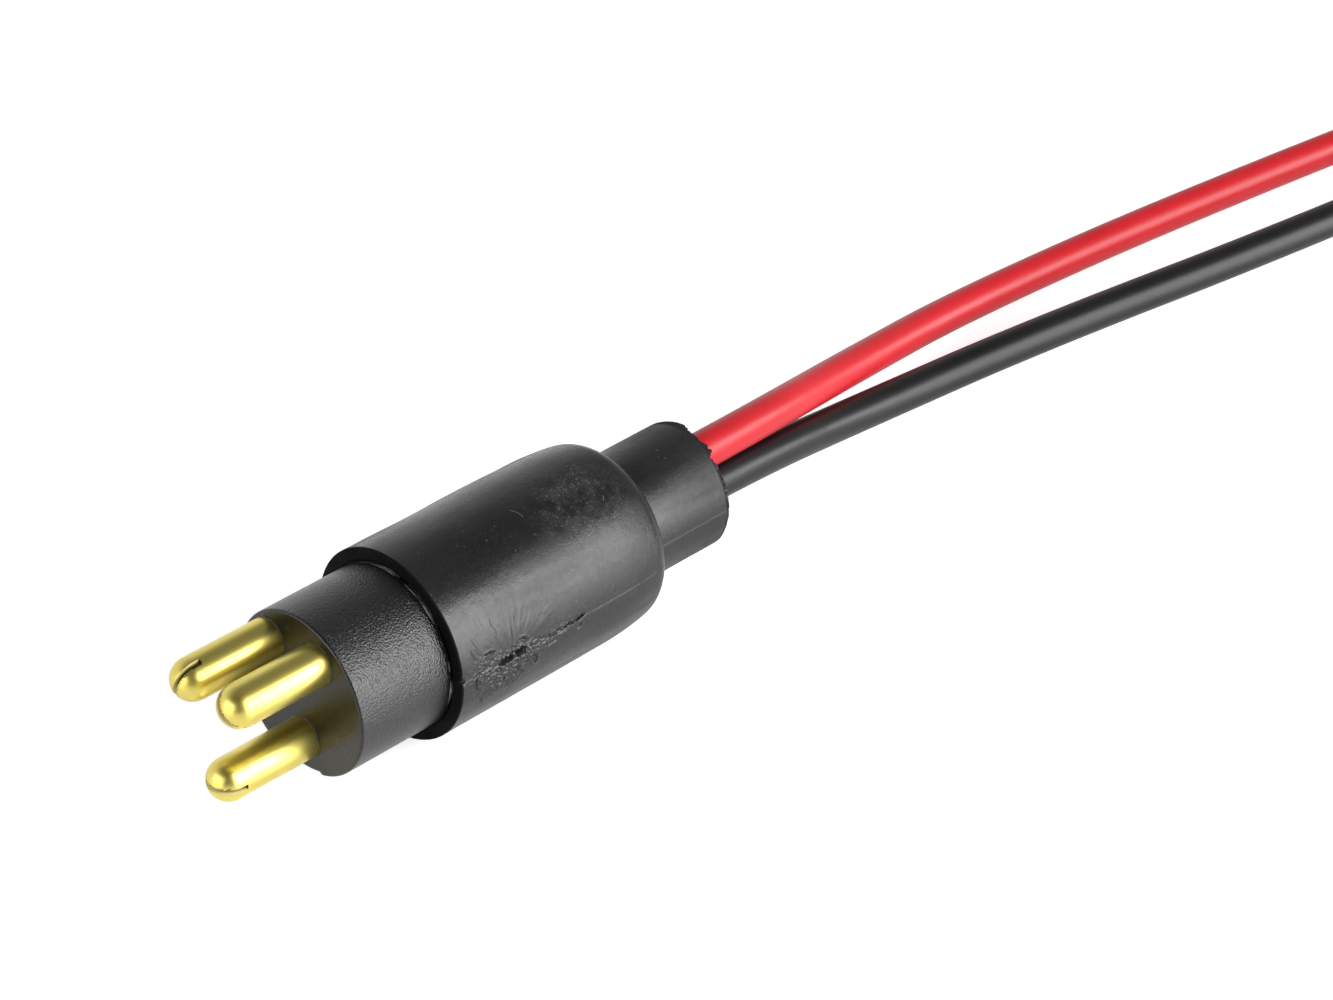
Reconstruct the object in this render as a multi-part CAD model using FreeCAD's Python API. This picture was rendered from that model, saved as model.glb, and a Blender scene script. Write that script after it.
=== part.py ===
import FreeCAD, Part
import math
import os

# Three-pin trolling motor plug on two free battery leads, lying on its side.
# The pins point along +X, +Z is up and the surface is Z = 0.
# The origin lies under the middle of the plug, measured without its leads.
# All sizes are in millimetres.

# Split pins and the contacts that they belong to
pin_diameter = 4.76
pin_projection = 12.6
dome_cuts = 4
slot_width = 0.55
slot_depth = 3.4
slot_saw_radius = 7.0
shank_diameter = 4.1
barrel_length = 6.5
barrel_bore_depth = 5.4

# Where each pin stands in the face, as shares of the nose's radius, and the turn of its slot
pin_shares = {
    "positive_contact": {"across": -0.468, "up": 0.516, "slot_turn": 71.0},
    "negative_contact": {"across": 0.021, "up": -0.558, "slot_turn": -3.0},
    "spare_contact": {"across": 0.3, "up": 0.537, "slot_turn": 131.0},
}

# Hard plastic carrier: a nose that stays outside and a thinner spigot in the boot
nose_diameter = 19.0
nose_length = 12.5
nose_edge = 0.4
spigot_step = 0.3
spigot_length = 6.5

# Rubber boot, pulled over the spigot; its rounds are turned in short straight cuts
boot_wall = 1.65
boot_barrel_length = 23.9
boot_lip_edge = 0.5
shoulder_length = 8.4
shoulder_crown_length = 6.0
shoulder_crown_radius = 40.0
shoulder_crown_cuts = 2
shoulder_end_cuts = 4
neck_diameter = 15.1
neck_length = 12.0
neck_bore_diameter = 11.2
neck_end_wall = 2.5
cavity_floor = 2.2

# Leads: stranded copper in a round insulation
lead_diameter = 4.5
strands_diameter = 3.0
lead_gap_behind_barrel = 0.7
strands_gap_in_bore = 0.3
stripped_length = 8.0

# Routes of the leads from inside the boot to the stripped ends, chosen by hand
red_route = [
    (-21.0, -0.6, 13.6),
    (-46.0, -0.6, 13.6),
    (-72.0, -8.9, 6.7),
    (-102.0, -14.1, 2.25),
    (-145.0, -9.9, 2.25),
    (-187.5, -3.6, 2.25),
]
black_route = [
    (-21.0, -0.5, 8.8),
    (-46.0, -0.5, 8.8),
    (-72.0, -5.8, 2.25),
    (-102.0, -2.4, 2.25),
    (-145.0, 5.1, 2.25),
    (-187.0, 10.6, 2.25),
]

# Stations along X, from the pin tips to the end of the neck
pin_radius = pin_diameter / 2
shank_radius = shank_diameter / 2
nose_radius = nose_diameter / 2
spigot_radius = nose_radius - spigot_step
boot_radius = nose_radius + boot_wall
neck_radius = neck_diameter / 2
neck_bore_radius = neck_bore_diameter / 2
lead_radius = lead_diameter / 2
strands_radius = strands_diameter / 2
plug_length = pin_projection + nose_length + boot_barrel_length + shoulder_length + neck_length
tip_x = plug_length / 2
face_x = tip_x - pin_projection
lip_x = face_x - nose_length
spigot_end_x = lip_x - spigot_length
barrel_end_x = spigot_end_x - barrel_length
shoulder_x = lip_x - boot_barrel_length
neck_root_x = shoulder_x - shoulder_length
neck_end_x = -plug_length / 2
axis_height = boot_radius

pin_layout = {}
for name, share in pin_shares.items():
    pin_layout[name] = {
        "across": share["across"] * nose_radius,
        "up": share["up"] * nose_radius,
        "slot_turn": share["slot_turn"],
    }

vector = FreeCAD.Vector
along_x = vector(1, 0, 0)


def line(start, end):
    """Straight edge between two points given as along, radius."""
    return Part.LineSegment(vector(start[0], 0, start[1]), vector(end[0], 0, end[1])).toShape()


def chain(points):
    """Straight edges from each point to the next."""
    return [line(start, end) for start, end in zip(points, points[1:])]


def rounded(centre, radius, start_angle, end_angle, cuts):
    """Points of a round that is turned in short cuts, angles in degrees from +X towards +Z."""
    points = []
    for cut in range(cuts + 1):
        turn = math.radians(start_angle + (end_angle - start_angle) * cut / cuts)
        points.append((centre[0] + radius * math.cos(turn), centre[1] + radius * math.sin(turn)))
    return points


def turned(outline, across=0.0, up=0.0):
    """Solid turned about an axis along X, from the corners of half its closed outline."""
    face = Part.Face(Part.Wire(chain(outline + outline[:1])))
    solid = face.revolve(vector(0, 0, 0), along_x, 360)
    solid.translate(vector(0, across, axis_height + up))
    return solid


def rod(radius, start_x, end_x, across=0.0, up=0.0):
    """Plain rod along X between two stations."""
    base = vector(start_x, across, axis_height + up)
    return Part.makeCylinder(radius, end_x - start_x, base, along_x)


def saw_cut(across, up, turn):
    """Slot of a round saw that is fed into the tip along the pin."""
    centre_x = tip_x - slot_depth + slot_saw_radius
    disc = Part.makeCylinder(
        slot_saw_radius, slot_width, vector(centre_x, 0, -slot_width / 2), vector(0, 0, 1)
    )
    disc.rotate(vector(0, 0, 0), along_x, turn)
    disc.translate(vector(0, across, axis_height + up))
    return disc


def make_contact(across, up, slot_turn):
    """Turned brass contact: split pin, and a thinner shank that is bored at its back."""
    bore_x = barrel_end_x + barrel_bore_depth
    dome = rounded((tip_x - pin_radius, 0), pin_radius, 0, 90, dome_cuts)
    steps = [
        (face_x, pin_radius),
        (face_x, shank_radius),
        (barrel_end_x, shank_radius),
        (barrel_end_x, strands_radius),
        (bore_x, strands_radius),
        (bore_x, 0),
    ]
    return turned(dome + steps, across, up).cut(saw_cut(across, up, slot_turn))


def make_carrier():
    """Round carrier moulded about the shanks, with a spigot that the boot is pulled over."""
    outline = [
        (spigot_end_x, 0),
        (spigot_end_x, spigot_radius),
        (lip_x, spigot_radius),
        (lip_x, nose_radius),
        (face_x - nose_edge, nose_radius),
        (face_x, nose_radius - nose_edge),
        (face_x, 0),
    ]
    shanks = []
    for place in pin_layout.values():
        shanks.append(rod(shank_radius, spigot_end_x, face_x, place["across"], place["up"]))
    return turned(outline).cut(shanks)


def lead_path(points):
    """Wire of straight runs joined by tangent arcs, and the radii of its arcs."""
    corners = [vector(*point) for point in points]
    edges = []
    radii = []
    here = corners[0]
    for before, corner, after in zip(corners, corners[1:], corners[2:]):
        run_in = corner - before
        run_out = after - corner
        half_turn = run_in.getAngle(run_out) / 2
        reach = 0.45 * min(run_in.Length, run_out.Length)
        radius = reach / math.tan(half_turn)
        arc_start = corner - run_in.normalize() * reach
        arc_end = corner + run_out.normalize() * reach
        inward = ((arc_start + arc_end) * 0.5 - corner).normalize()
        middle = corner + inward * (radius / math.cos(half_turn) - radius)
        edges.append(Part.LineSegment(here, arc_start).toShape())
        edges.append(Part.Arc(arc_start, middle, arc_end).toShape())
        radii.append(radius)
        here = arc_end
    edges.append(Part.LineSegment(here, corners[-1]).toShape())
    return Part.Wire(edges), radii


def tube(path, radius):
    """Round rod swept along a path."""
    start = path.OrderedVertexes[0].Point
    heading = path.OrderedEdges[0].tangentAt(path.OrderedEdges[0].FirstParameter)
    section = Part.Wire([Part.makeCircle(radius, start, heading)])
    return path.makePipeShell([section], True, False)


def make_lead(name, contact, route):
    """One insulated lead, with its strands where they show: in the barrel and stripped."""
    across = pin_layout[contact]["across"]
    up = pin_layout[contact]["up"]
    start_x = barrel_end_x - lead_gap_behind_barrel
    points = [(start_x, across, axis_height + up)] + route
    path, radii = lead_path(points)
    lead = tube(path, lead_radius)

    crimped = rod(
        strands_radius,
        start_x,
        barrel_end_x + barrel_bore_depth - strands_gap_in_bore,
        across,
        up,
    ).cut(lead)
    last_point = vector(*route[-1])
    heading = last_point - vector(*route[-2])
    stripped = Part.makeCylinder(strands_radius, stripped_length, last_point, heading)

    section = math.pi * lead_radius**2
    visible = path.Length - (start_x - neck_end_x)
    print(name, "route", round(path.Length, 1), "outside the neck about", round(visible, 1))
    print(name, "radii", [round(radius, 1) for radius in radii])
    print(name, "volume share", round(lead.Volume / (section * path.Length), 4))
    return lead, crimped, stripped


def shoulder():
    """Rear shoulder of the boot: a long slack crown, then a tight round down to the neck."""
    crown_turn = math.asin(shoulder_crown_length / shoulder_crown_radius)
    crown_drop = shoulder_crown_radius * (1 - math.cos(crown_turn))
    crown_centre = (shoulder_x, boot_radius - shoulder_crown_radius)
    round_radius = (shoulder_length - shoulder_crown_length) / (1 - math.sin(crown_turn))
    round_centre = (
        neck_root_x + round_radius,
        boot_radius - crown_drop - round_radius * math.cos(crown_turn),
    )
    end = 90 + math.degrees(crown_turn)
    crown = rounded(crown_centre, shoulder_crown_radius, 90, end, shoulder_crown_cuts)
    return crown + rounded(round_centre, round_radius, end, 180, shoulder_end_cuts)[1:]


def make_boot(leads):
    """Rubber boot: tight on the spigot, hollow behind it, closed round the leads."""
    cavity_end_x = neck_root_x + cavity_floor
    outside = [(lip_x, boot_radius - boot_lip_edge), (lip_x - boot_lip_edge, boot_radius)]
    outside += shoulder()
    outside += [(neck_root_x, neck_radius), (neck_end_x, neck_radius), (neck_end_x, 0)]
    inside = [
        (neck_end_x + neck_end_wall, 0),
        (neck_end_x + neck_end_wall, neck_bore_radius),
        (cavity_end_x, neck_bore_radius),
        (cavity_end_x, spigot_radius),
        (lip_x, spigot_radius),
    ]
    return turned(outside + inside).cut(leads)


def main():
    """Build every piece and write one file for each."""
    pieces = {"pin_carrier": make_carrier()}
    for name, place in pin_layout.items():
        pieces[name] = make_contact(place["across"], place["up"], place["slot_turn"])

    for colour, contact, route in (
        ("red", "positive_contact", red_route),
        ("black", "negative_contact", black_route),
    ):
        lead, crimped, stripped = make_lead(colour, contact, route)
        pieces[colour + "_lead"] = lead
        pieces[colour + "_crimped_strands"] = crimped
        pieces[colour + "_stripped_strands"] = stripped
    pieces["rubber_boot"] = make_boot([pieces["red_lead"], pieces["black_lead"]])

    os.makedirs("parts", exist_ok=True)
    for name, shape in pieces.items():
        if len(shape.Solids) == 1:
            shape = shape.Solids[0]
        shape.exportStep("parts/" + name + ".step")
        print(name, "solids", len(shape.Solids), "volume", round(shape.Volume, 1))


main()
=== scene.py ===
import math

import bmesh
import bpy
import numpy as np
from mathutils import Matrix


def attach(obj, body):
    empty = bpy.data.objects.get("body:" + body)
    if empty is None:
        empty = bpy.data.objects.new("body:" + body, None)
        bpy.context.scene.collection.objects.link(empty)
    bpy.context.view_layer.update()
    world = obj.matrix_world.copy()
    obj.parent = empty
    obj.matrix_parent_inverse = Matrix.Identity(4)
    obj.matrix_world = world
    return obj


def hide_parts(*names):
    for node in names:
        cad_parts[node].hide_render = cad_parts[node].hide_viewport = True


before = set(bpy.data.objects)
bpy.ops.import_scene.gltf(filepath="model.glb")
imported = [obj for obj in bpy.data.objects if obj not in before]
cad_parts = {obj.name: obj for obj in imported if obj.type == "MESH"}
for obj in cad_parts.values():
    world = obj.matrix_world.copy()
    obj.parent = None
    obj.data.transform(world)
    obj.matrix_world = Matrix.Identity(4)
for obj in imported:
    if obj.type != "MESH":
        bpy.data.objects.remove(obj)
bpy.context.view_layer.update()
scene = bpy.context.scene
scene.view_settings.view_transform = "Standard"
millimetre = 0.001
chance = np.random.default_rng(11)

# plug: stations along X and radii, in millimetres, as the CAD has them
plug = {
    "tip": 34.7,
    "face": 22.1,
    "lip": 9.6,
    "spigotEnd": 3.1,
    "shankEnd": -3.4,
    "shoulder": -14.3,
    "neckRoot": -22.7,
    "neckEnd": -34.7,
    "axisHeight": 11.15,
    "noseRadius": 9.5,
    "spigotRadius": 9.2,
    "bootRadius": 11.15,
    "neckRadius": 7.55,
    "pinRadius": 2.38,
}


# camera
cameraData = bpy.data.cameras.new("camera")
cameraData.lens = 103.2
cameraData.sensor_width = 36
cameraData.clip_start = 0.01
camera = bpy.data.objects.new("camera", cameraData)
camera.location = (0.2288, 0.2513, 0.23665)
camera.rotation_euler = (math.radians(58), 0, math.radians(133.9))
scene.collection.objects.link(camera)
scene.camera = camera


# leads: the two routes of part.py, in metres, and the two tones of each insulation
leads = {
    "red": {
        "node": "red_lead",
        "strands": "red_stripped_strands",
        "slot": "red_insulation",
        "exit": (-0.0335, -0.0006, 0.0136),
        "length": 0.187,
        "route": [
            (-0.0041, -0.004446, 0.016052),
            (-0.021, -0.0006, 0.0136),
            (-0.046, -0.0006, 0.0136),
            (-0.072, -0.0089, 0.0067),
            (-0.102, -0.0141, 0.00225),
            (-0.145, -0.0099, 0.00225),
            (-0.1875, -0.0036, 0.00225),
        ],
        "deep": (0.5, 0.008, 0.014, 1),
        "pale": (0.56, 0.011, 0.019, 1),
    },
    "black": {
        "node": "black_lead",
        "strands": "black_stripped_strands",
        "slot": "black_insulation",
        "exit": (-0.0335, -0.0005, 0.0088),
        "length": 0.185,
        "route": [
            (-0.0041, 0.0002, 0.005849),
            (-0.021, -0.0005, 0.0088),
            (-0.046, -0.0005, 0.0088),
            (-0.072, -0.0058, 0.00225),
            (-0.102, -0.0024, 0.00225),
            (-0.145, 0.0051, 0.00225),
            (-0.187, 0.0106, 0.00225),
        ],
        "deep": (0.0035, 0.0036, 0.004, 1),
        "pale": (0.006, 0.0062, 0.0066, 1),
    },
}
leadRadius = 0.00225


def addObject(name, data):
    piece = bpy.data.objects.new(name, data)
    scene.collection.objects.link(piece)
    return piece


def makeLead(name, lead):
    curve = bpy.data.curves.new(name, "CURVE")
    curve.dimensions = "3D"
    spline = curve.splines.new("NURBS")
    spline.points.add(len(lead["route"]) - 1)
    for point, place in zip(spline.points, lead["route"]):
        point.co = (*place, 1)
    spline.order_u = 3
    spline.use_endpoint_u = True
    spline.resolution_u = 26
    curve.bevel_depth = leadRadius
    curve.bevel_resolution = 12
    curve.use_fill_caps = True
    return addObject(name, curve)


for colour, lead in leads.items():
    lead["piece"] = makeLead(colour + "Insulation", lead)
print("camera and leads done")


# mesh helpers
latticeCells = 48
lattice = chance.random((latticeCells, latticeCells, latticeCells))


def noise(points, size):
    # smooth value noise between 0 and 1: a random lattice with that cell size in millimetres,
    # blended by t*t*(3-2t) along each direction
    scaled = points / size + 1000
    cell = np.floor(scaled).astype(int)
    t = scaled - cell
    t = t * t * (3 - 2 * t)
    total = np.zeros(points.shape[:-1])
    for dx in (0, 1):
        for dy in (0, 1):
            for dz in (0, 1):
                weight = (
                    np.where(dx, t[..., 0], 1 - t[..., 0])
                    * np.where(dy, t[..., 1], 1 - t[..., 1])
                    * np.where(dz, t[..., 2], 1 - t[..., 2])
                )
                corner = (cell + (dx, dy, dz)) % latticeCells
                total += weight * lattice[corner[..., 0], corner[..., 1], corner[..., 2]]
    return total


def bell(distance, width):
    return np.exp(-((distance / width) ** 2))


def ramp(value, nought, full):
    # 0 up to the first place, 1 from the second on, straight between them
    return np.clip((value - nought) / (full - nought), 0, 1)


def roundCorner(centre, radius, startAngle, endAngle, steps):
    # points (x, r) of an arc, angles in degrees from +X towards larger r
    angles = np.radians(np.linspace(startAngle, endAngle, steps))
    return [(centre[0] + radius * math.cos(a), centre[1] + radius * math.sin(a)) for a in angles]


def straight(start, end, spacing):
    # points of a straight stretch, without its end
    count = max(1, round(math.dist(start, end) / spacing))
    return [
        (start[0] + (end[0] - start[0]) * i / count, start[1] + (end[1] - start[1]) * i / count)
        for i in range(count)
    ]


def evenTurn(count):
    return np.radians(np.linspace(0, 360, count, endpoint=False))


def turnedPoints(profile, angles):
    # grids of x, r and angle: one row for each point of the profile, one column for each angle
    x = np.array([p[0] for p in profile])[:, None] + 0 * angles[None, :]
    r = np.array([p[1] for p in profile])[:, None] + 0 * angles[None, :]
    return x, r, angles[None, :] + 0 * x


def placed(x, r, a, across=0.0, up=0.0):
    # surface of revolution about an axis along X: (x, across + r cos a, height + r sin a)
    height = plug["axisHeight"] + up
    return np.stack([x, across + r * np.cos(a), height + r * np.sin(a)], axis=-1)


def meshObject(name, vertices, faces):
    # normals point outwards; only the many-sided end faces of the strands stay flat
    mesh = bpy.data.meshes.new(name)
    mesh.from_pydata(vertices, [], faces)
    work = bmesh.new()
    work.from_mesh(mesh)
    bmesh.ops.recalc_face_normals(work, faces=work.faces)
    if work.calc_volume(signed=True) < 0:
        bmesh.ops.reverse_faces(work, faces=work.faces)
    for face in work.faces:
        face.smooth = len(face.verts) <= 4
    work.to_mesh(mesh)
    work.free()
    return addObject(name, mesh)


def gridObject(name, points, ringClosed=False):
    # rows of a grid that closes round its columns; the first and last row shrink to a pole,
    # or join each other where the rows close to a ring
    rows, columns, _ = points.shape
    points = points * millimetre
    index = np.arange(rows * columns).reshape(rows, columns)
    nextIndex = np.roll(index, -1, axis=1)
    quads = np.stack([index[:-1], nextIndex[:-1], nextIndex[1:], index[1:]], axis=-1)
    faces = quads.reshape(-1, 4).tolist()
    vertices = points.reshape(-1, 3).tolist()
    if ringClosed:
        faces += np.stack([index[-1], nextIndex[-1], nextIndex[0], index[0]], axis=-1).tolist()
    else:
        for row, flip in ((0, True), (rows - 1, False)):
            vertices.append(points[row].mean(axis=0).tolist())
            pole = len(vertices) - 1
            for a, b in zip(index[row].tolist(), nextIndex[row].tolist()):
                faces.append((pole, b, a) if flip else (pole, a, b))
    return meshObject(name, vertices, faces)


# node helpers
def newGroup(name, inputs, outputs):
    group = bpy.data.node_groups.new(name, "ShaderNodeTree")
    for label, kind, value in inputs:
        socket = group.interface.new_socket(name=label, in_out="INPUT", socket_type=kind)
        socket.default_value = value
    for label, kind in outputs:
        group.interface.new_socket(name=label, in_out="OUTPUT", socket_type=kind)
    enter = group.nodes.new("NodeGroupInput")
    leave = group.nodes.new("NodeGroupOutput")
    return group, enter, leave


class Tree:
    # short calls for adding and joining nodes
    def __init__(self, tree):
        self.tree = tree

    def add(self, kind, inputs=None, **settings):
        node = self.tree.nodes.new(kind)
        for key, value in settings.items():
            setattr(node, key, value)
        for key, value in (inputs or {}).items():
            self.feed(node.inputs[key], value)
        return node

    def feed(self, socket, value):
        if isinstance(value, bpy.types.NodeSocket):
            self.tree.links.new(value, socket)
        else:
            socket.default_value = value

    def sums(self, operation, a, b=0.0, c=0.0):
        node = self.add("ShaderNodeMath", operation=operation)
        for socket, value in zip(node.inputs, (a, b, c)):
            self.feed(socket, value)
        return node.outputs[0]

    def times(self, a, b):
        return self.sums("MULTIPLY", a, b)

    def plus(self, a, b):
        return self.sums("ADD", a, b)

    def minus(self, a, b):
        return self.sums("SUBTRACT", a, b)

    def hypotenuse(self, a, b):
        squares = self.plus(self.sums("POWER", a, 2.0), self.sums("POWER", b, 2.0))
        return self.sums("SQRT", squares)

    def vectorSum(self, operation, a, b):
        node = self.add("ShaderNodeVectorMath", {0: a, 1: b}, operation=operation)
        return node.outputs["Value"]

    def distance(self, a, b):
        return self.vectorSum("DISTANCE", a, b)

    def spread(self, value, low, high, toLow=0.0, toHigh=1.0):
        node = self.add("ShaderNodeMapRange", {"Value": value, "From Min": low, "From Max": high})
        self.feed(node.inputs["To Min"], toLow)
        self.feed(node.inputs["To Max"], toHigh)
        return node.outputs[0]

    def blend(self, share, first, second):
        node = self.add("ShaderNodeMix", data_type="RGBA")
        self.feed(node.inputs["Factor"], share)
        self.feed(node.inputs["A"], first)
        self.feed(node.inputs["B"], second)
        return node.outputs["Result"]

    def noise(self, place, scale, detail=3.0, roughness=0.5):
        inputs = {"Vector": place, "Scale": scale, "Detail": detail, "Roughness": roughness}
        return self.add("ShaderNodeTexNoise", inputs).outputs[0]

    def mapped(self, place, turn, stretch):
        inputs = {"Vector": place, "Rotation": turn, "Scale": stretch}
        return self.add("ShaderNodeMapping", inputs).outputs[0]

    def group(self, shared, **inputs):
        return self.add("ShaderNodeGroup", inputs, node_tree=shared).outputs[0]


# dust specks: tiny cells of a voronoi pattern, thinned by a cloudy mask
speckGroup, enter, leave = newGroup(
    "dustSpecks",
    [("Scale", "NodeSocketFloat", 900.0), ("Size", "NodeSocketFloat", 0.12)],
    [("Mask", "NodeSocketFloat")],
)
tree = Tree(speckGroup)
place = tree.add("ShaderNodeTexCoord").outputs["Object"]
cells = tree.add("ShaderNodeTexVoronoi", {"Vector": place, "Scale": enter.outputs["Scale"]})
near = tree.sums("LESS_THAN", cells.outputs["Distance"], enter.outputs["Size"])
cellColour = tree.add("ShaderNodeSeparateColor", {"Color": cells.outputs["Color"]})
rare = tree.sums("GREATER_THAN", cellColour.outputs[0], 0.8)
cloud = tree.spread(tree.noise(place, 180.0, 2.0), 0.42, 0.62)
tree.feed(leave.inputs["Mask"], tree.times(tree.times(near, rare), cloud))

# scratches: noise drawn out along two slanting directions
scratchGroup, enter, leave = newGroup(
    "scratches", [("Amount", "NodeSocketFloat", 0.5)], [("Mask", "NodeSocketFloat")]
)
tree = Tree(scratchGroup)
place = tree.add("ShaderNodeTexCoord").outputs["Object"]
masks = []
for turn, stretch in (((0.2, 0.4, 0.9), (60, 2600, 2600)), ((0.5, -0.3, -0.5), (2600, 80, 2600))):
    lines = tree.noise(tree.mapped(place, turn, stretch), 1.0, 1.0)
    masks.append(tree.spread(lines, 0.7, 0.78))
cloud = tree.spread(tree.noise(place, 120.0, 2.0), 0.45, 0.7)
both = tree.sums("MAXIMUM", masks[0], masks[1])
tree.feed(leave.inputs["Mask"], tree.times(tree.times(both, cloud), enter.outputs["Amount"]))


def newMaterial(name):
    material = bpy.data.materials.new(name)
    material.use_nodes = True
    tree = Tree(material.node_tree)
    shader = material.node_tree.nodes["Principled BSDF"]
    place = tree.add("ShaderNodeTexCoord").outputs["Object"]
    return material, tree, shader, place


def addBump(tree, shader, height, strength, distance):
    bump = tree.add("ShaderNodeBump", {"Height": height, "Strength": strength, "Distance": distance})
    tree.feed(shader.inputs["Normal"], bump.outputs[0])


def plugPlace(tree, place):
    # along the plug, across it, and out from its axis, in metres
    split = tree.add("ShaderNodeSeparateXYZ", {"Vector": place})
    up = tree.minus(split.outputs["Z"], plug["axisHeight"] * millimetre)
    return split.outputs["X"], split.outputs["Y"], tree.hypotenuse(split.outputs["Y"], up)


# rubber: lengths in metres, scales per metre, places in the frame
rubberLook = {
    "deep": (0.0035, 0.0036, 0.004, 1),
    "pale": (0.013, 0.013, 0.0132, 1),
    "dust": (0.25, 0.25, 0.24, 1),
    "settledDust": (0.27, 0.27, 0.26, 1),
    "settledPlace": (-0.0135, 0.0052, 0.0212),
    "scratch": (0.1, 0.1, 0.1, 1),
    "lint": (0.3, 0.3, 0.29, 1),
    # a hair is an arc of a thin ring: its centre and radius, then where it shows and how far
    "hairs": [
        ((-0.0152, 0.0060, 0.0215), 0.0016, (-0.0165, 0.0065, 0.0207), 0.0007),
        ((-0.0205, 0.0070, 0.0200), 0.0011, (-0.0197, 0.0060, 0.0190), 0.0009),
        ((-0.0045, 0.0040, 0.0221), 0.0020, (-0.0062, 0.0032, 0.0217), 0.0008),
    ],
    "hairHalf": 0.000035,
    "nick": (0.22, 0.21, 0.12, 1),
    # painted shade on the neck's cut end
    "paintedCutShade": (0.002, 0.002, 0.002, 1),
    # painted shade on the lip's end face
    "paintedLipShade": (0.001, 0.001, 0.001, 1),
    "sheen": 0.6,
    "bump": 0.000025,
}


def rubberDust(tree, place, tone, marks):
    # dust on the shoulder, thick in the middle of its patch, then specks, fine pale specks that are
    # partly powder and partly painted glints of the grain, and scratches
    look = rubberLook
    patch = tree.spread(tree.distance(place, look["settledPlace"]), 0.0015, 0.008, 1.0, 0.0)
    grains = tree.add("ShaderNodeTexVoronoi", {"Vector": place, "Scale": 2600.0})
    grain = tree.sums("LESS_THAN", grains.outputs["Distance"], 0.27)
    cover = tree.spread(tree.noise(place, 420.0, 4.0, 0.7), 0.4, 0.7)
    settled = tree.times(tree.times(patch, cover), tree.plus(0.3, grain))
    specks = tree.group(speckGroup, Scale=1500.0, Size=0.16)
    # fine pale specks: partly powder, partly painted glints of the grain
    powderAndGlints = tree.group(speckGroup, Scale=3600.0, Size=0.24)
    tone = tree.blend(tree.times(settled, 0.5), tone, look["settledDust"])
    tone = tree.blend(tree.times(specks, 0.35), tone, look["dust"])
    tone = tree.blend(tree.times(powderAndGlints, 0.16), tone, look["dust"])
    tone = tree.blend(tree.times(marks, 0.2), tone, look["scratch"])
    for centre, radius, spot, reach in look["hairs"]:
        offRing = tree.sums("ABSOLUTE", tree.minus(tree.distance(place, centre), radius))
        shown = tree.sums("LESS_THAN", tree.distance(place, spot), reach)
        hair = tree.times(tree.sums("LESS_THAN", offRing, look["hairHalf"]), shown)
        tone = tree.blend(tree.times(hair, 0.4), tone, look["lint"])
    return tone, settled


def rubberMaterial():
    look = rubberLook
    material, tree, shader, place = newMaterial("bootRubber")
    cloud = tree.noise(place, 130.0, 4.0, 0.6)
    fine = tree.noise(place, 4200.0, 3.0, 0.6)
    middle = tree.noise(place, 1500.0, 3.0)
    drawn = tree.mapped(place, (0.3, 0.5, 0.2), (60.0, 260.0, 420.0))
    smears = tree.spread(tree.noise(drawn, 1.0, 3.0), 0.38, 0.66)
    cloudy = tree.spread(cloud, 0.35, 0.7, 0.0, 0.45)
    mottle = tree.plus(cloudy, tree.spread(fine, 0.4, 0.75, 0.0, 0.75))
    tone = tree.blend(mottle, look["deep"], look["pale"])
    marks = tree.group(scratchGroup, Amount=0.35)
    tone, settled = rubberDust(tree, place, tone, marks)

    # painted shade darkens the cut at the end of the neck, with pale olive nicks along its rim
    along, across, radius = plugPlace(tree, place)
    rim = tree.spread(along, -0.03435, -0.0345)
    nicks = tree.spread(tree.noise(place, 2400.0, 2.0), 0.52, 0.62)
    nicks = tree.times(nicks, tree.spread(radius, 0.0068, 0.0072))
    nicks = tree.times(nicks, tree.spread(across, 0.0042, 0.0055))
    paintedCutShade = tree.spread(along, -0.0341, -0.0344)
    tone = tree.blend(tree.times(paintedCutShade, 0.6), tone, look["paintedCutShade"])
    tone = tree.blend(tree.times(tree.times(rim, nicks), 0.6), tone, look["nick"])

    # the lip's end face is painted deep black as shade, and a metallic share takes its sheen off
    lip = tree.times(tree.spread(along, 0.0093, 0.0094), tree.spread(radius, 0.01114, 0.01108))
    tone = tree.blend(tree.times(lip, 0.8), tone, look["paintedLipShade"])
    tree.feed(shader.inputs["Base Color"], tone)
    tree.feed(shader.inputs["Metallic"], tree.times(lip, 0.75))

    rough = tree.plus(tree.spread(middle, 0.3, 0.7, 0.24, 0.31), tree.times(smears, 0.13))
    rough = tree.plus(rough, tree.times(settled, 0.2))
    rough = tree.plus(rough, tree.times(tree.spread(along, -0.0245, -0.032), 0.2))
    rough = tree.plus(rough, tree.times(tree.sums("MAXIMUM", paintedCutShade, lip), 0.45))
    tree.feed(shader.inputs["Roughness"], tree.plus(rough, tree.times(marks, 0.1)))
    shader.inputs["Specular IOR Level"].default_value = look["sheen"]
    height = tree.plus(tree.times(fine, 0.8), tree.times(middle, 0.9))
    addBump(tree, shader, tree.minus(height, tree.times(marks, 0.7)), 0.9, look["bump"])
    return material


# carrier's hard plastic
carrierLook = {
    "deep": (0.006, 0.006, 0.0063, 1),
    "pale": (0.009, 0.009, 0.0094, 1),
    "dust": (0.3, 0.3, 0.3, 1),
    "jointDust": (0.85, 0.85, 0.82, 1),
    "grainScale": 4900.0,
    "faceRoughness": 0.27,
    "sideRoughness": 0.28,
    "sheen": 0.75,
    "bump": 0.00007,
}


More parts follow.
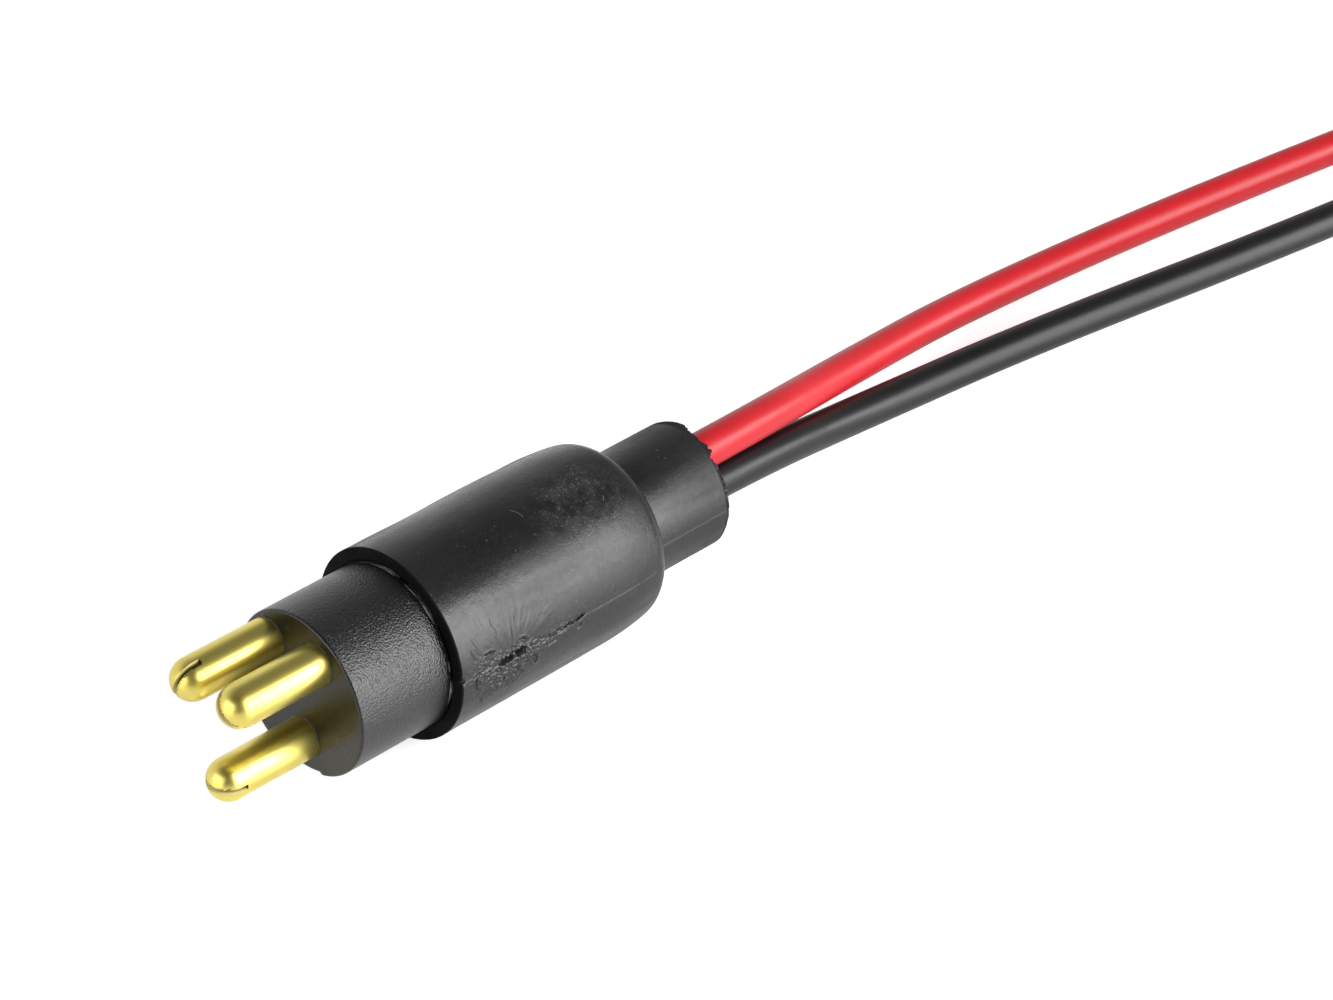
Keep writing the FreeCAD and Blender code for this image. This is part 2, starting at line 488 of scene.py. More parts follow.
def carrierMaterial():
    # spark-eroded grain on the nose's side, smooth on its face, dust in the joint with the boot
    look = carrierLook
    material, tree, shader, place = newMaterial("carrierPlastic")
    along, _, radius = plugPlace(tree, place)
    side = tree.spread(along, 0.02205, 0.0217)
    face = tree.minus(1.0, side)
    cells = {"Vector": place, "Scale": look["grainScale"]}
    grain = tree.add("ShaderNodeTexVoronoi", cells, feature="SMOOTH_F1").outputs["Distance"]
    coarse = tree.noise(place, 4300.0, 3.0, 0.65)
    height = tree.times(tree.plus(grain, tree.times(coarse, 0.9)), side)
    # faint rings on the face, left by the turned mould, and small sinks
    rings = tree.times(tree.sums("SINE", tree.times(radius, 11000.0)), face)
    rings = tree.times(rings, tree.spread(tree.noise(place, 300.0, 2.0), 0.4, 0.7))
    height = tree.plus(height, tree.times(rings, 0.05))
    sinks = tree.times(tree.noise(place, 520.0, 3.0, 0.6), face)
    height = tree.plus(height, tree.times(sinks, 0.6))
    height = tree.plus(height, tree.times(tree.noise(place, 9000.0, 1.0), 0.3))

    tone = tree.blend(tree.noise(place, 150.0, 3.0), look["deep"], look["pale"])
    broken = tree.spread(tree.noise(place, 300.0, 3.0), 0.42, 0.62, 0.02, 1.0)
    tone = tree.blend(tree.times(tree.spread(along, 0.00986, 0.0098), broken), tone, look["jointDust"])
    tone = tree.blend(tree.times(tree.group(speckGroup), 0.3), tone, look["dust"])
    tree.feed(shader.inputs["Base Color"], tone)
    rough = tree.spread(side, 0.0, 1.0, look["faceRoughness"], look["sideRoughness"])
    tree.feed(shader.inputs["Roughness"], rough)
    tree.feed(shader.inputs["Metallic"], tree.times(face, 0.28))  # a duller face
    shader.inputs["Specular IOR Level"].default_value = look["sheen"]
    addBump(tree, shader, height, 1.0, look["bump"])
    return material


def insulationMaterial(name, deep, pale):
    material, tree, shader, place = newMaterial(name)
    cloud = tree.noise(place, 90.0, 3.0)
    fine = tree.noise(place, 1500.0, 2.0)
    tree.feed(shader.inputs["Base Color"], tree.blend(tree.spread(cloud, 0.35, 0.7), deep, pale))
    tree.feed(shader.inputs["Roughness"], tree.spread(fine, 0.3, 0.7, 0.36, 0.41))
    shader.inputs["Specular IOR Level"].default_value = 0.38
    addBump(tree, shader, fine, 0.08, 0.00001)
    return material


def copperMaterial():
    material, tree, shader, place = newMaterial("conductorCopper")
    cloud = tree.noise(place, 700.0, 3.0)
    tone = tree.blend(cloud, (0.86, 0.44, 0.28, 1), (0.6, 0.27, 0.15, 1))
    tree.feed(shader.inputs["Base Color"], tone)
    shader.inputs["Metallic"].default_value = 1.0
    tree.feed(shader.inputs["Roughness"], tree.spread(cloud, 0.3, 0.7, 0.25, 0.42))
    addBump(tree, shader, tree.noise(place, 6000.0, 2.0), 0.2, 0.00001)
    return material


rubber = rubberMaterial()
plastic = carrierMaterial()
copper = copperMaterial()
for colour, lead in leads.items():
    lead["material"] = insulationMaterial(colour + "Insulation", lead["deep"], lead["pale"])
print("materials done")


def dress(piece, material, node=None):
    # what every solid piece is given: its material; the solid that it stands for is hidden, and the
    # piece hangs from the root
    piece.data.materials.append(material)
    if node:
        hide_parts(node)
    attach(piece, "root")


# boot
# places on it are (x, s): along the plug, and up round the skin from the mould's parting line
boot = {
    "lipRound": 0.14,
    "crownRadius": 40.0,
    "crownLength": 6.0,
    "endLength": 2.4,
    "rootRound": 0.35,
    # columns of the grid: start and end angle and count, closest round the torn gate
    "columns": [(-20, 30, 125), (30, 115, 80), (115, 340, 68)],
    # the first rows of the grid are inside the lip and stay plain
    "insideRows": 5,
    # parting line: its angle, the step's distance from it, the step and the thread of flash
    "seamAngle": math.radians(2.0),
    "seamSide": -0.25,
    "seamStep": 0.05,
    "seamFlash": 0.02,
    # torn gate: pits as place, reach along and up, depth; tears as points
    "pits": [
        ((3.1, -0.3), (1.2, 0.45), 0.75),
        ((0.9, -0.25), (0.6, 0.55), 0.7),
        ((1.9, -0.15), (1.5, 0.42), 0.4),
    ],
    "tear": [(0.3, -0.3), (-1.6, -0.12), (-3.4, -0.37), (-5.0, -0.27)]
    + [(-6.3, -0.15), (-6.9, -0.1), (-8.3, -0.1)],
    "tearDepth": 0.5,
    "tearEdge": 0.14,
    "lowerTear": [(-0.1, -0.95), (-1.7, -0.75), (-2.9, -1.4), (-4.0, -1.3)],
    "lowerTearDepth": 0.2,
    "flapHeight": 0.22,
    "crumbHeights": (0.06, 0.045),
    # cuts: bows as centre, radius, first and last angle, depth; then strokes as points, depth
    "bows": [
        ((5.6, 0.3), 1.45, -25, 127, 0.34),
        ((5.9, -1.2), 1.7, -75, 20, 0.32),
        ((0.85, 0.75), 0.6, 10, 165, 0.24),
        ((-0.5, -2.2), 0.75, 110, 240, 0.28),
        ((3.9, -2.4), 0.55, 190, 330, 0.28),
        ((-7.2, -0.65), 0.65, 200, 320, 0.2),
    ],
    "strokes": [
        ([(7.7, 2.9), (7.62, 2.3), (7.45, 1.6)], 0.1),
        ([(6.1, -0.8), (5.3, -1.0), (4.5, -1.1)], 0.14),
        ([(-0.1, -1.5), (0.25, -2.1), (1.0, -3.0)], 0.12),
        ([(6.8, -3.5), (6.3, -4.3)], 0.14),
    ],
    "cutWidth": 0.085,
    # weals as points, height
    "weals": [
        ([(6.1, -4.0), (4.2, -4.1)], 0.1),
        ([(5.3, -4.7), (2.2, -4.4)], 0.1),
        ([(2.6, 1.2), (1.9, 3.9)], 0.03),
    ],
    "wealWidth": 0.12,
    "fanCentre": (3.0, -2.0),
    "wrinkleHeights": (0.06, 0.022),
    # nick in the lip and the bruise beside it: place, reach along and up, depth
    "nicks": [((9.5, -0.1), (0.35, 0.28), 0.45), ((9.2, 0.5), (0.5, 0.5), 0.06)],
    # end of the neck by the angle round it, where it was cut by hand
    "rimAngles": [-180, -120, -60, -32, -18, -7, 3, 13, 20, 26, 34, 43]
    + [50, 53, 55, 58, 61, 68, 75, 83, 92, 112, 130, 180],
    "rimEnds": [34.7, 34.55, 34.7, 34.6, 34.5, 34.6, 34.7, 34.6, 34.7, 34.7, 34.6, 34.6]
    + [34.45, 34.7, 35.2, 34.9, 35.2, 34.75, 34.8, 34.8, 35.4, 35.1, 34.8, 34.7],
    "burrHeight": 0.22,
    "leadRelief": 0.5,
}


def bootProfile():
    lip, top, inside = plug["lip"], plug["bootRadius"], plug["spigotRadius"]
    edge = boot["lipRound"]
    profile = [(lip - 6.5, inside), (lip - 1.0, inside)]
    profile += [(lip - 0.5, 9.25), (lip - 0.3, 9.42), (lip - 0.2, 9.56)]
    profile += straight((lip - 0.15, 9.66), (lip, top - edge), 0.2)
    profile += roundCorner((lip - edge, top - edge), edge, 0, 90, 7)[:-1]
    # close rows as far as the torn gate reaches, wider ones behind it
    profile += straight((lip - edge, top), (-9.0, top), 0.09)
    profile += straight((-9.0, top), (plug["shoulder"], top), 0.26)
    # long crown, then a tight round, as in the CAD
    crownRadius = boot["crownRadius"]
    turn = math.asin(boot["crownLength"] / crownRadius)
    crown = math.degrees(turn)
    profile += roundCorner((plug["shoulder"], top - crownRadius), crownRadius, 90, 90 + crown, 16)[:-1]
    small = boot["endLength"] / (1 - math.sin(turn))
    drop = crownRadius * (1 - math.cos(turn))
    centre = (plug["neckRoot"] + small, top - drop - small * math.cos(turn))
    profile += roundCorner(centre, small, 90 + crown, 172, 18)
    neck, end, root = plug["neckRadius"], plug["neckEnd"], boot["rootRound"]
    profile += roundCorner((plug["neckRoot"] - root, neck + root), root, 10, -90, 6)
    profile += straight((plug["neckRoot"] - 0.5, neck), (end + 2.2, neck), 0.4)
    profile += straight((end + 2.2, neck), (end + 0.1, neck), 0.13)
    profile += [(end + 0.03, neck), (end, neck - 0.03)]
    outerRows = len(profile)
    profile += [(end, neck - 0.15)]
    profile += straight((end, neck - 0.4), (end, 0.4), 0.4)
    return profile, outerRows


def pathDistance(x, s, path):
    # distance in the skin from a bent line through the points of the path
    nearest = np.full(x.shape, 99.0)
    for (ax, ay), (bx, by) in zip(path, path[1:]):
        length = (bx - ax) ** 2 + (by - ay) ** 2
        t = np.clip(((x - ax) * (bx - ax) + (s - ay) * (by - ay)) / length, 0, 1)
        nearest = np.minimum(nearest, np.hypot(x - ax - t * (bx - ax), s - ay - t * (by - ay)))
    return nearest


def partingLine(x, r, signed, points):
    # lift = -step (1 + tanh(from / width)) / 2 * exp(-from / 2): the mould's upper half stands
    # lower just above its line, with a thread of flash on the line where the skin isn't torn
    fromLine = r * np.sin(signed - boot["seamAngle"]) - boot["seamSide"]
    torn = ramp(x, -8.3, -7.3) * ramp(x, 8.2, 7.6) * (np.abs(signed) < 1)
    step = 0.5 + 0.5 * np.tanh(fromLine / (0.07 + 0.3 * torn))
    lift = -boot["seamStep"] * step * np.exp(-np.maximum(fromLine, 0) / 2.0)
    return lift + boot["seamFlash"] * noise(points, 1.6) * bell(fromLine, 0.08) * (1 - torn)


def tornGate(x, s, points):
    # pits = -depth * (1 - distance / reach) ^ 0.6, tears = -depth * bell(distance / width),
    # at places that noise has shifted, so that all edges are ragged
    cloud, jag, ragged = noise(points, 0.45), noise(points, 0.32), noise(points, 0.22)
    lift = 0 * x
    u, v = x + 0.25 * (cloud - 0.5), s + 0.25 * (ragged - 0.5)
    for (pitX, pitS), (reachX, reachS), depth in boot["pits"]:
        away = np.hypot((u - pitX) / reachX, (v - pitS) / reachS)
        lift -= depth * ramp(away, 1.0, 0.2) ** 0.6
        lift += 0.05 * bell(away - 1.3, 0.25) * cloud
    near = pathDistance(x + 0.5 * (jag - 0.5), s + 0.6 * (ragged - 0.5), boot["tear"])
    gape = np.clip(2.6 * noise(points, 0.85) - 0.6, 0.12, 1)
    lift -= boot["tearDepth"] * gape * bell(near, 0.09 + 0.08 * cloud)
    lift += boot["tearEdge"] * (jag - 0.35) * bell(near - 0.38, 0.22) * ramp(x, -7.6, -6.6)
    lift -= boot["lowerTearDepth"] * cloud * bell(pathDistance(u, v, boot["lowerTear"]), 0.12)
    # flap between the tears, and crumbs all round
    strip = ramp(x, 2.2, 1.2) * ramp(x, -6.8, -5.3)
    lift += boot["flapHeight"] * strip * (ragged - 0.45) * bell(s + 0.75, 0.4)
    fine, coarse = boot["crumbHeights"]
    crumbs = fine * np.tanh(7 * (ragged - 0.5)) + coarse * np.tanh(6 * (jag - 0.5))
    around = ramp(np.hypot(x - 3.4, 1.3 * (s + 0.9)), 6.0, 3.0)
    return lift + around * crumbs * ramp(s, 1.3, 0.7)


def cutsAndWeals(x, s, points):
    # each cut is a bell-shaped groove with a low bank beside it, and fades along its length
    u = x + 0.1 * (noise(points, 0.45) - 0.5)
    v = s + 0.1 * (noise(points, 0.22) - 0.5)
    cuts = list(boot["strokes"])
    for (bowX, bowS), size, start, end, depth in boot["bows"]:
        turns = np.radians(np.linspace(start, end, 9))
        cuts.append(([(bowX + size * math.cos(b), bowS + size * math.sin(b)) for b in turns], depth))
    fading = np.clip(2.4 * noise(points, 0.7) - 0.6, 0.05, 1)
    lift = 0 * x
    for path, depth in cuts:
        near = pathDistance(u, v, path)
        lift -= depth * fading * bell(near, boot["cutWidth"])
        lift += 0.25 * depth * fading * bell(near - 0.2, 0.1)
    for path, height in boot["weals"]:
        lift += height * bell(pathDistance(u, v, path), boot["wealWidth"])
    return lift


def flowWrinkles(x, s, points):
    # they fan up and back from the gate: noise drawn out along the rays of a fan
    fanX, fanS = x - boot["fanCentre"][0], s - boot["fanCentre"][1]
    reach = np.hypot(fanX, fanS)
    turn = np.arctan2(fanX, np.maximum(fanS, 0.01))
    turn = turn + 0.22 * noise(points, 2.6) + 0.05 * noise(points, 0.8)
    rays = np.stack([8.0 * turn, 0.12 * reach, 0 * turn], axis=-1)
    patch = ramp(s, 0.5, 1.5) * ramp(reach, 10.0, 6.5) * ramp(x, 8.9, 7.9)
    large, small = boot["wrinkleHeights"]
    return patch * (large * (noise(rays, 0.4) - 0.5) + small * (noise(rays, 0.16) - 0.5))


def cutNeckEnd(x, r, signed, points):
    # the rim follows its list of ends, with fine burrs; the shift grows over the last 2 mm
    nearEnd = ramp(x, plug["neckEnd"] + 2.0, plug["neckEnd"]) ** 2
    ends = np.interp(np.degrees(signed), boot["rimAngles"], boot["rimEnds"])
    burrs = boot["burrHeight"] * (noise(points, 0.7) - 0.5 + noise(points, 0.3) - 0.5)
    shift = ends + plug["neckEnd"] + burrs * nearEnd**3
    return x - shift * nearEnd * ramp(r, 5.2, 6.7)


def bootSkin():
    profile, outerRows = bootProfile()
    angles = [np.linspace(*stretch, endpoint=False) for stretch in boot["columns"]]
    x, r, a = turnedPoints(profile, np.radians(np.concatenate(angles)))
    rows = np.arange(len(profile))[:, None] + 0 * a
    signed = (a + math.pi) % (2 * math.pi) - math.pi
    points = placed(x, r, a)
    s = r * (signed - boot["seamAngle"])

    # slow unevenness of the moulding, then all that is on it
    lift = 0.1 * (noise(points, 7.0) - 1.0) + 0.03 * (noise(points, 2.2) - 1.0)
    lift += partingLine(x, r, signed, points)
    lift += tornGate(x, s, points)
    lift += cutsAndWeals(x, s, points)
    lift += flowWrinkles(x, s, points)
    for (nickX, nickS), (reachX, reachS), depth in boot["nicks"]:
        lift -= depth * bell(x - nickX, reachX) * bell(s - nickS, reachS)
    r = r + lift * (rows >= boot["insideRows"]) * (rows < outerRows)

    x = cutNeckEnd(x, r, signed, points)
    # relief round the two leads
    flat = placed(x, r, a)
    for lead in leads.values():
        side, height = lead["route"][1][1] / millimetre, lead["route"][1][2] / millimetre
        clear = np.hypot(flat[..., 1] - side, flat[..., 2] - height) - leadRadius / millimetre
        x = x + boot["leadRelief"] * bell(clear, 0.35) * (rows > outerRows)
    return placed(x, r, a)


bootPiece = gridObject("bootSkin", bootSkin())
dress(bootPiece, rubber, "rubber_boot")
print("boot done")


# carrier
carrier = {
    "edgeRound": 0.28,
    "columns": 256,
    "sinkDepth": 0.05,
    "warp": 0.03,
    # shallow step in the face's edge on the underside: its depth, then the angles of its two ends
    "stepDepth": 0.38,
    "stepFront": (-73, -75),
    "stepBack": (-112, -98),
}


def carrierSkin():
    face, lip, nose, inside = plug["face"], plug["lip"], plug["noseRadius"], plug["spigotRadius"]
    end, edge = plug["spigotEnd"], carrier["edgeRound"]
    profile = straight((face, 0.3), (face, nose - edge), 0.35)
    profile += roundCorner((face - edge, nose - edge), edge, 0, 90, 9)
    profile += straight((face - edge - 0.2, nose), (lip + 0.12, nose), 0.5)
    profile += [(lip + 0.1, nose), (lip, nose - 0.08), (lip, 9.3), (lip - 0.05, inside)]
    profile += straight((lip - 0.4, inside), (end, inside), 1.0)
    profile += [(end, inside), (end, 8.9)]
    profile += straight((end, 8.0), (end, 0.4), 1.5)
    x, r, a = turnedPoints(profile, evenTurn(carrier["columns"]))
    points = placed(x, r, a)
    # slight sink of the face and a trace of warp along the side
    sink = (x > face - 0.01) * (carrier["sinkDepth"] * (noise(points, 5.0) - 0.5))
    side = (x < face - edge) * (x > lip + 0.2)
    below = np.degrees((a + math.pi) % (2 * math.pi) - math.pi)
    step = ramp(below, *carrier["stepFront"]) * ramp(below, *carrier["stepBack"])
    r = r - carrier["stepDepth"] * step * ramp(x, face - 1.2, face - 0.4) * ramp(r, 7.5, 9.0)
    return placed(x + sink, r + side * carrier["warp"] * (noise(points, 6.0) - 0.5), a)


carrierPiece = gridObject("carrierSkin", carrierSkin())
dress(carrierPiece, plastic, "pin_carrier")


# contacts
# the last entry of each contact picks the half whose slot edge gets a painted line of shade
contacts = {
    "positive": {"across": -4.446, "up": 4.902, "slotTurn": 71.0, "shadedEdgeSide": -1},
    "negative": {"across": 0.1995, "up": -5.301, "slotTurn": -3.0, "shadedEdgeSide": 1},
    "spare": {"across": 2.85, "up": 5.1015, "slotTurn": 131.0, "shadedEdgeSide": -1},
}
barrel = {"shankRadius": 2.05, "radius": 1.5, "length": 5.4}
# round saw that is fed into the tip along the pin: a plate with a trace of rounding at its rim
saw = {"radius": 7.0, "half": 0.29, "rim": 0.06, "depth": 3.4}
saw["centre"] = plug["tip"] - saw["depth"] + saw["radius"]
slotBevel = 0.00013


# brass: the slot's walls are rougher and paler than the turned skin; painted shade darkens them with
# depth and at the slot's root, and lays a dark line along one half's edge
brassLook = {
    "bright": (0.87, 0.74, 0.2, 1),
    "dull": (0.76, 0.62, 0.14, 1),
    "wall": (0.9, 0.8, 0.36, 1),
    # painted shade in the slot: deeper wall, root and the dark line along one half's edge
    "paintedDeepShade": (0.16, 0.12, 0.02, 1),
    "root": (0.12, 0.09, 0.02, 1),
    "paintedEdgeShade": (0.02, 0.014, 0.004, 1),
    "pit": (0.1, 0.07, 0.015, 1),
}


def depthUnderSkin(tree, place):
    # depth = pin's radius - distance from the pin's axis, or from its dome's centre further out
    section = tree.add("ShaderNodeVectorMath", {0: place, 1: (0.0, 1.0, 1.0)}, operation="MULTIPLY")
    radius = 1.0
    for contact in contacts.values():
        height = plug["axisHeight"] + contact["up"]
        axis = (0.0, contact["across"] * millimetre, height * millimetre)
        radius = tree.sums("MINIMUM", tree.distance(section.outputs[0], axis), radius)
    along = tree.add("ShaderNodeSeparateXYZ", {"Vector": place}).outputs["X"]
    domeCentre = (plug["tip"] - plug["pinRadius"]) * millimetre
    ahead = tree.sums("MAXIMUM", tree.minus(along, domeCentre), 0.0)
    return tree.minus(plug["pinRadius"] * millimetre, tree.hypotenuse(radius, ahead))


def brassMaterial():
    look = brassLook
    material, tree, shader, place = newMaterial("contactBrass")
    depth = depthUnderSkin(tree, place)
    cloud = tree.noise(place, 260.0, 4.0, 0.6)
    fine = tree.noise(place, 2600.0, 2.0)
    turnedMarks = tree.noise(tree.mapped(place, (0.0, 0.0, 0.0), (9000.0, 300.0, 300.0)), 1.0, 1.0)
    pits = tree.group(speckGroup, Scale=620.0, Size=0.08)
    # the attribute that markSawn writes
    sawn = tree.add("ShaderNodeAttribute", attribute_name="sawn").outputs["Fac"]
    # painted shade: darker with depth under the skin, near-black at the root, a dark line on one
    # half's edge
    wall = tree.sums("GREATER_THAN", sawn, 0.75)
    root = tree.sums("COMPARE", sawn, 0.5, 0.2)
    paintedEdgeShade = tree.sums("COMPARE", sawn, 0.25, 0.1)
    tone = tree.blend(tree.spread(cloud, 0.35, 0.72), look["bright"], look["dull"])
    wallToneAndShade = tree.blend(tree.spread(depth, 0.00025, 0.0008), look["wall"], look["paintedDeepShade"])
    tone = tree.blend(wall, tone, wallToneAndShade)
    tone = tree.blend(paintedEdgeShade, tone, look["paintedEdgeShade"])
    tone = tree.blend(root, tone, look["root"])
    tone = tree.blend(tree.times(pits, 0.7), tone, look["pit"])
    tree.feed(shader.inputs["Base Color"], tone)
    tree.feed(shader.inputs["Metallic"], tree.minus(1.0, tree.sums("MAXIMUM", wall, paintedEdgeShade)))
    rough = tree.spread(cloud, 0.3, 0.7, 0.29, 0.38)
    tree.feed(shader.inputs["Roughness"], tree.plus(rough, tree.times(sawn, 0.25)))
    height = tree.plus(tree.times(turnedMarks, 0.3), tree.times(fine, 0.2))
    addBump(tree, shader, tree.minus(height, tree.times(pits, 2.0)), 0.2, 0.00001)
    return material


brass = brassMaterial()


def contactPoints(contact):
    tip, face, end, pinRadius = plug["tip"], plug["face"], plug["shankEnd"], plug["pinRadius"]
    shank, inner, back = barrel["shankRadius"], barrel["radius"], plug["shankEnd"] + barrel["length"]
    profile = roundCorner((tip - pinRadius, 0), pinRadius, 1.5, 90, 30)
    profile += straight((tip - pinRadius - 0.5, pinRadius), (face + 0.3, pinRadius), 1.2)
    profile += [(face + 0.3, pinRadius), (face + 0.12, pinRadius), (face, pinRadius)]
    profile += [(face, shank), (end, shank), (end, inner), (back, inner), (back, 0.3)]
    return placed(*turnedPoints(profile, evenTurn(96)), contact["across"], contact["up"])


def sawDisc(contact):
    radius, half, rim = saw["radius"], saw["half"], saw["rim"]
    around = evenTurn(180)
    section = [(0.5, half), (radius - rim, half), (radius, half - rim)]
    section += [(radius, rim - half), (radius - rim, -half), (0.5, -half)]
    r = np.array([r for r, side in section])[:, None]
    side = np.array([side for r, side in section])[:, None] + 0 * around
    x, flat = saw["centre"] + r * np.cos(around), r * np.sin(around)
    turn = math.radians(contact["slotTurn"])
    y = flat * math.cos(turn) - side * math.sin(turn)
    z = flat * math.sin(turn) + side * math.cos(turn)
    y, z = y + contact["across"], z + plug["axisHeight"] + contact["up"]
    return gridObject("saw", np.stack([x, y, z], axis=-1))


def applyModifiers(piece):
    graph = bpy.context.evaluated_depsgraph_get()
    mesh = bpy.data.meshes.new_from_object(piece.evaluated_get(graph))
    piece.modifiers.clear()
    piece.data = mesh


def markSawn(pin, contact):
    # 1 on the walls of the slot, a half on its root (painted shade), a quarter on one half's edge,
    # where a painted line of shade goes, 0 on the turned skin
    turn = math.radians(contact["slotTurn"])
    across = np.array([0, -math.sin(turn), math.cos(turn)])
    centre = np.array([saw["centre"], contact["across"], plug["axisHeight"] + contact["up"]])
    radius, half = saw["radius"], saw["half"]
    mask = pin.data.attributes.new("sawn", "FLOAT", "CORNER")
    for polygon in pin.data.polygons:
        away = np.array(polygon.center) / millimetre - centre
        off = away @ across * contact["shadedEdgeSide"]
        facing = abs(np.array(polygon.normal) @ across)
        reach = np.linalg.norm(away)
        wall = facing > 0.97 and half - 0.09 < abs(off) < half + 0.01
        root = abs(off) < half + 0.01 and abs(reach - radius) < 0.12
        edge = half < off < half + 0.13 and 0.15 < facing < 0.995 and reach < radius + 0.3
        for corner in polygon.loop_indices:
            mask.data[corner].value = 1.0 if wall else 0.5 if root else 0.25 * edge


for name, contact in contacts.items():
    pin = gridObject(name + "Pin", contactPoints(contact))
    disc = sawDisc(contact)
    cut = pin.modifiers.new("slot", "BOOLEAN")
    cut.object = disc
    cut.operation = "DIFFERENCE"
    cut.solver = "EXACT"
    applyModifiers(pin)
    bpy.data.objects.remove(disc)
    bevel = pin.modifiers.new("edge", "BEVEL")
    bevel.width = slotBevel
    bevel.segments = 3
    bevel.limit_method = "ANGLE"
    bevel.angle_limit = math.radians(35)
    applyModifiers(pin)
    for polygon in pin.data.polygons:
        polygon.use_smooth = True
    markSawn(pin, contact)
    dress(pin, brass, name + "_contact")


def flashRing(contact):
    # thin skin of plastic that crept up the foot of the pin: (r, x) = foot + oval (cos u, sin u),
    # with a rim of uneven height
    u, v = np.meshgrid(evenTurn(10), evenTurn(120), indexing="ij")
    r = plug["pinRadius"] + 0.06 + 0.12 * np.cos(u)
    x = plug["face"] - 0.02 + 0.07 * np.sin(u)
    points = placed(x, r, v, contact["across"], contact["up"])
    x = x + 0.1 * (noise(points, 0.9) - 0.4) * (np.sin(u) > 0)
    r = r + 0.12 * (noise(points, 1.5) - 0.5)
    return placed(x, r, v, contact["across"], contact["up"])


for name, contact in contacts.items():
    dress(gridObject(name + "Flash", flashRing(contact), ringClosed=True), plastic)
print("carrier and contacts done")


# strands at the stripped ends, in millimetres; the twist is in radians per millimetre
strands = {
    "length": 8.0,
    "radius": 0.205,
    "pitch": 0.427,
    "rings": ((1, 6), (2, 12), (3, 18)),
    "twist": 0.16,
    "wobble": 0.02,
    "sides": 8,
    "rows": 14,
}


def strandBundle(name, lead):
    # one strand in the middle and three rings about it, twisted slowly about the bundle's axis
    end = np.array(lead["route"][-1])
    heading = end - np.array(lead["route"][-2])
    heading /= np.linalg.norm(heading)
    sideways = np.cross(heading, (0, 0, 1))
    upward = np.cross(sideways, heading)
    centres = [(0, 0)]
    for ring, count in strands["rings"]:
        away = ring * strands["pitch"]
        for i in range(count):
            angle = 2 * math.pi * (i + 0.5 * ring) / count
            centres.append((away * math.cos(angle), away * math.sin(angle)))
    vertices, faces = [], []
    sides, rows, radius = strands["sides"], strands["rows"], strands["radius"]
    for cx, cy in centres:
        length = strands["length"] * (1 - 0.02 * chance.random())
        first = len(vertices)
        for s in np.linspace(-0.5, length, rows):
            turn = strands["twist"] * s
            wobble = strands["wobble"] * math.sin(1.7 * s + 9 * cx)
            px = cx * math.cos(turn) - cy * math.sin(turn) + wobble
            py = cx * math.sin(turn) + cy * math.cos(turn)
            for a in evenTurn(sides):
                offset = sideways * (px + radius * math.cos(a)) + upward * (py + radius * math.sin(a))
                vertices.append(tuple(end + (heading * s + offset) * millimetre))
        for i in range(rows - 1):
            for j in range(sides):
                a, b = first + i * sides + j, first + i * sides + (j + 1) % sides
                faces.append((a, b, b + sides, a + sides))
        last = first + (rows - 1) * sides
        faces.append(tuple(range(first + sides - 1, first - 1, -1)))
        faces.append(tuple(range(last, last + sides)))
    return meshObject(name, vertices, faces)


for colour, lead in leads.items():
    piece = lead["piece"]
    bundle = strandBundle(colour + "Strands", lead)
    dress(bundle, copper, lead["strands"])
    dress(piece, lead["material"], lead["node"])
for node in ("red_crimped_strands", "black_crimped_strands"):
    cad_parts[node].material_slots[0].material = copper
print("leads done")


# floor
floorMesh = bpy.data.meshes.new("floor")
floorMesh.from_pydata([(-6, -6, 0), (6, -6, 0), (6, 6, 0), (-6, 6, 0)], [], [(0, 1, 2, 3)])
floor = addObject("floor", floorMesh)
floorMaterial, tree, shader, place = newMaterial("floorPaper")
tone = tree.blend(tree.noise(place, 4.0, 2.0), (0.86, 0.86, 0.86, 1), (0.87, 0.87, 0.87, 1))
tree.feed(shader.inputs["Base Color"], tone)
shader.inputs["Roughness"].default_value = 0.12
shader.inputs["Specular IOR Level"].default_value = 0.5
# it glows white to the camera, and less in what mirrors it
rays = tree.add("ShaderNodeLightPath").outputs
mirrored = tree.sums("MAXIMUM", rays["Is Glossy Ray"], rays["Is Transmission Ray"])
glow = tree.plus(tree.times(rays["Is Camera Ray"], 0.65), tree.times(mirrored, 0.32))
tree.feed(shader.inputs["Emission Color"], (1, 1, 1, 1))
tree.feed(shader.inputs["Emission Strength"], glow)
floorMesh.materials.append(floorMaterial)

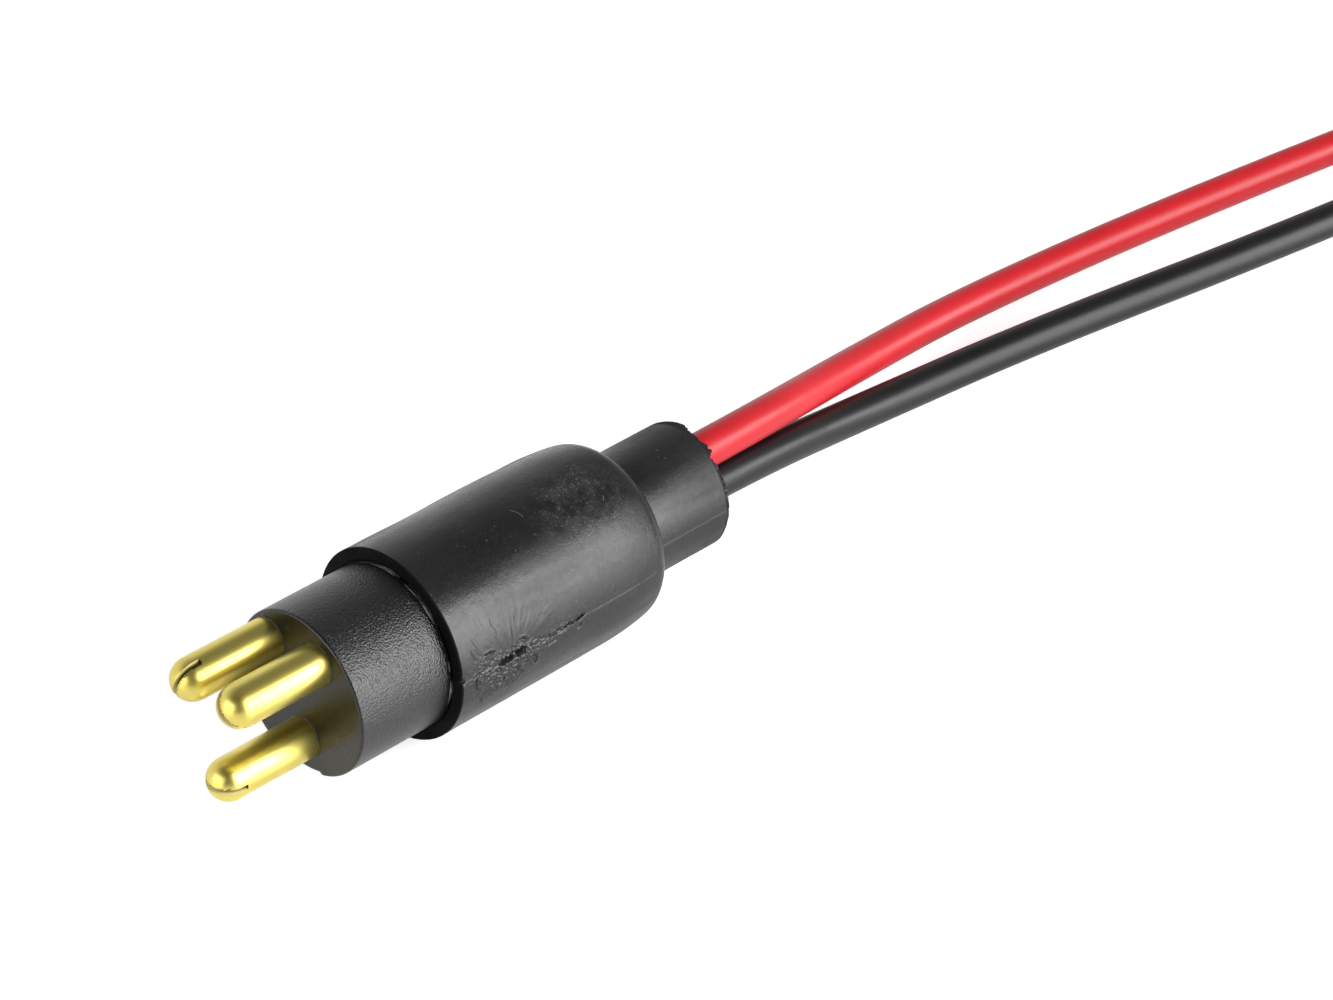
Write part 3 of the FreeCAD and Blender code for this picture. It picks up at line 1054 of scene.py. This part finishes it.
# lamps: size, strength, place, target
lamps = {
    "softboxRight": ((1.14, 0.93), 20.5, (-0.48, 0.9, 0.475), (-0.48, 0.0, 0.475)),
    # for the leads alone: on the boot's shoulder the room past the first softbox is dark
    "softboxFar": ((2.3, 0.64), 33.0, (-2.2, 0.9, 0.32), (-2.2, 0.0, 0.32)),
    "softboxLeft": ((1.5, 0.9), 10.0, (1.42, -0.12, 0.5), (0.02, 0, 0.02)),
}


def areaLamp(name, size, strength, place, target):
    data = bpy.data.lights.new(name, "AREA")
    data.shape = "RECTANGLE"
    data.size, data.size_y = size
    data.energy = strength
    lamp = addObject(name, data)
    lamp.location = place
    x, y, z = np.array(target) - np.array(place)
    lamp.rotation_euler = (math.atan2(math.hypot(x, y), -z), 0, math.atan2(y, x) - math.pi / 2)
    return lamp


softboxes = {name: areaLamp(name, *lamp) for name, lamp in lamps.items()}
leadsOnly = bpy.data.collections.new("leadsOnly")
for lead in leads.values():
    leadsOnly.objects.link(lead["piece"])
softboxes["softboxFar"].light_linking.receiver_collection = leadsOnly

# world: a bright backdrop on the left, a dim ceiling and a dark room behind the camera
world = bpy.data.worlds.new("studio")
scene.world = world
world.use_nodes = True
tree = Tree(world.node_tree)
background = world.node_tree.nodes["Background"]
place = tree.add("ShaderNodeTexCoord").outputs["Generated"]
height = tree.add("ShaderNodeSeparateXYZ", {"Vector": place}).outputs["Z"]
leftness = tree.vectorSum("DOT_PRODUCT", place, (0.15, -1.0, 0.0))
behind = tree.vectorSum("DOT_PRODUCT", place, (0.61, 0.59, 0.53))
tone = tree.spread(leftness, 0.35, 0.7, 0.35, 0.9)
tone = tree.times(tone, tree.spread(height, 0.45, 0.75, 1.0, 0.55))
tone = tree.times(tone, tree.spread(behind, 0.4, 0.9, 1.0, 0.2))
sky = tree.add("ShaderNodeCombineColor", {"Red": tone, "Green": tone, "Blue": tone}).outputs[0]
camRay = tree.add("ShaderNodeLightPath").outputs["Is Camera Ray"]
tree.feed(background.inputs["Color"], tree.blend(camRay, sky, (1, 1, 1, 1)))
background.inputs["Strength"].default_value = 1.0
print("studio done")
